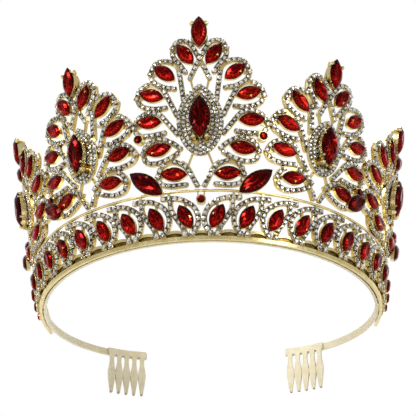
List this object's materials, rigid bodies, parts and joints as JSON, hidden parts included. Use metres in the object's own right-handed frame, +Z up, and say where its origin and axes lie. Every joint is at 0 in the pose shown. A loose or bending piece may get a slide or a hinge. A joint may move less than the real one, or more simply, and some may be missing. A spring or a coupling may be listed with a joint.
{
  "type": "tiara",
  "caption": "Gold-coloured open-back tiara with leaning filigree plumes, red navette stones and a small comb at each end of its sprung hoop.",
  "frame": {"origin": "centre of the hoop's front arc, in the plane of the hoop's underside", "axes": "+X to the right as seen from the front, along the longest extent; front is -Y, where the tall centre plume stands; +Z up, away from the head"},
  "size_m": [0.1784, 0.1443, 0.1153],
  "materials": {
    "gold": "bright gold-coloured plating on cast filigree, polished, darker in the recesses",
    "pale_gold": "paler gold-coloured plating on sprung strip, satin",
    "ruby": "faceted ruby-red glass, foiled behind",
    "crystal": "faceted clear rhinestone, foiled behind"
  },
  "bodies": {
    "root": {"headband": "pale_gold", "comb_left": "pale_gold", "comb_right": "pale_gold", "lower_rail": "gold", "upper_rail": "gold", "tier_frame_left": "gold", "tier_frame_right": "gold", "tier_settings_left": "gold", "tier_settings_right": "gold", "tier_stones_left": "ruby", "tier_stones_right": "ruby", "drop_setting": "gold", "drop_stone": "ruby", "plume_links": "gold", "accent_settings": "gold", "accent_stones": "ruby", "spacer_settings_left": "gold", "spacer_settings_right": "gold", "spacer_stones_left": "ruby", "spacer_stones_right": "ruby", "centre_frame": "gold", "centre_plate": "gold", "centre_petal_settings": "gold", "centre_petal_stones": "ruby", "centre_heart_setting": "gold", "centre_heart_stone": "ruby", "centre_tip_setting": "gold", "centre_tip_stone": "ruby", "mid_left_frame": "gold", "mid_left_plate": "gold", "mid_left_petal_settings": "gold", "mid_left_petal_stones": "ruby", "mid_left_heart_setting": "gold", "mid_left_heart_stone": "ruby", "mid_left_tip_setting": "gold", "mid_left_tip_stone": "ruby", "mid_right_frame": "gold", "mid_right_plate": "gold", "mid_right_petal_settings": "gold", "mid_right_petal_stones": "ruby", "mid_right_heart_setting": "gold", "mid_right_heart_stone": "ruby", "mid_right_tip_setting": "gold", "mid_right_tip_stone": "ruby", "outer_left_frame": "gold", "outer_left_plate": "gold", "outer_left_petal_settings": "gold", "outer_left_petal_stones": "ruby", "outer_left_heart_setting": "gold", "outer_left_heart_stone": "ruby", "outer_left_tip_setting": "gold", "outer_left_tip_stone": "ruby", "outer_right_frame": "gold", "outer_right_plate": "gold", "outer_right_petal_settings": "gold", "outer_right_petal_stones": "ruby", "outer_right_heart_setting": "gold", "outer_right_heart_stone": "ruby", "outer_right_tip_setting": "gold", "outer_right_tip_stone": "ruby"}
  },
  "joints": []
}
